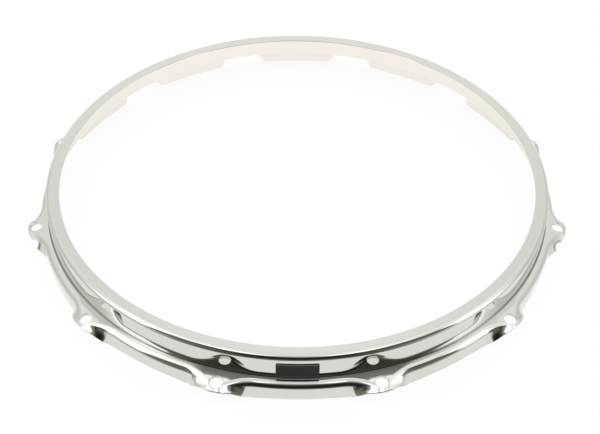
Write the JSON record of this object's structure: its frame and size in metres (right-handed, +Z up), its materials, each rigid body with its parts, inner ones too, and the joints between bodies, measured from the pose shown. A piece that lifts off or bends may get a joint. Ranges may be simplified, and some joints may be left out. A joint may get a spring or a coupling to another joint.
{
  "type": "drum hoop",
  "caption": "Pressed chromed steel drum hoop with an inward top flange, upright wall, turned-down skirt and flat ears with holes for tension rods.",
  "frame": {"origin": "middle of the ring, at the height of the lower edge of the skirt", "axes": "+Z up along the axis of the ring, towards the top flange; -Y towards the badge, which sits half way between two ears"},
  "size_m": [0.4004, 0.4004, 0.0323],
  "materials": {
    "chrome_plate": "bright chrome plate on pressed steel",
    "black_badge": "satin black",
    "adhesive_film": "matt double-sided film"
  },
  "bodies": {
    "root": {"hoop": "chrome_plate", "badge_adhesive": "adhesive_film", "badge_plate": "black_badge"}
  },
  "joints": []
}
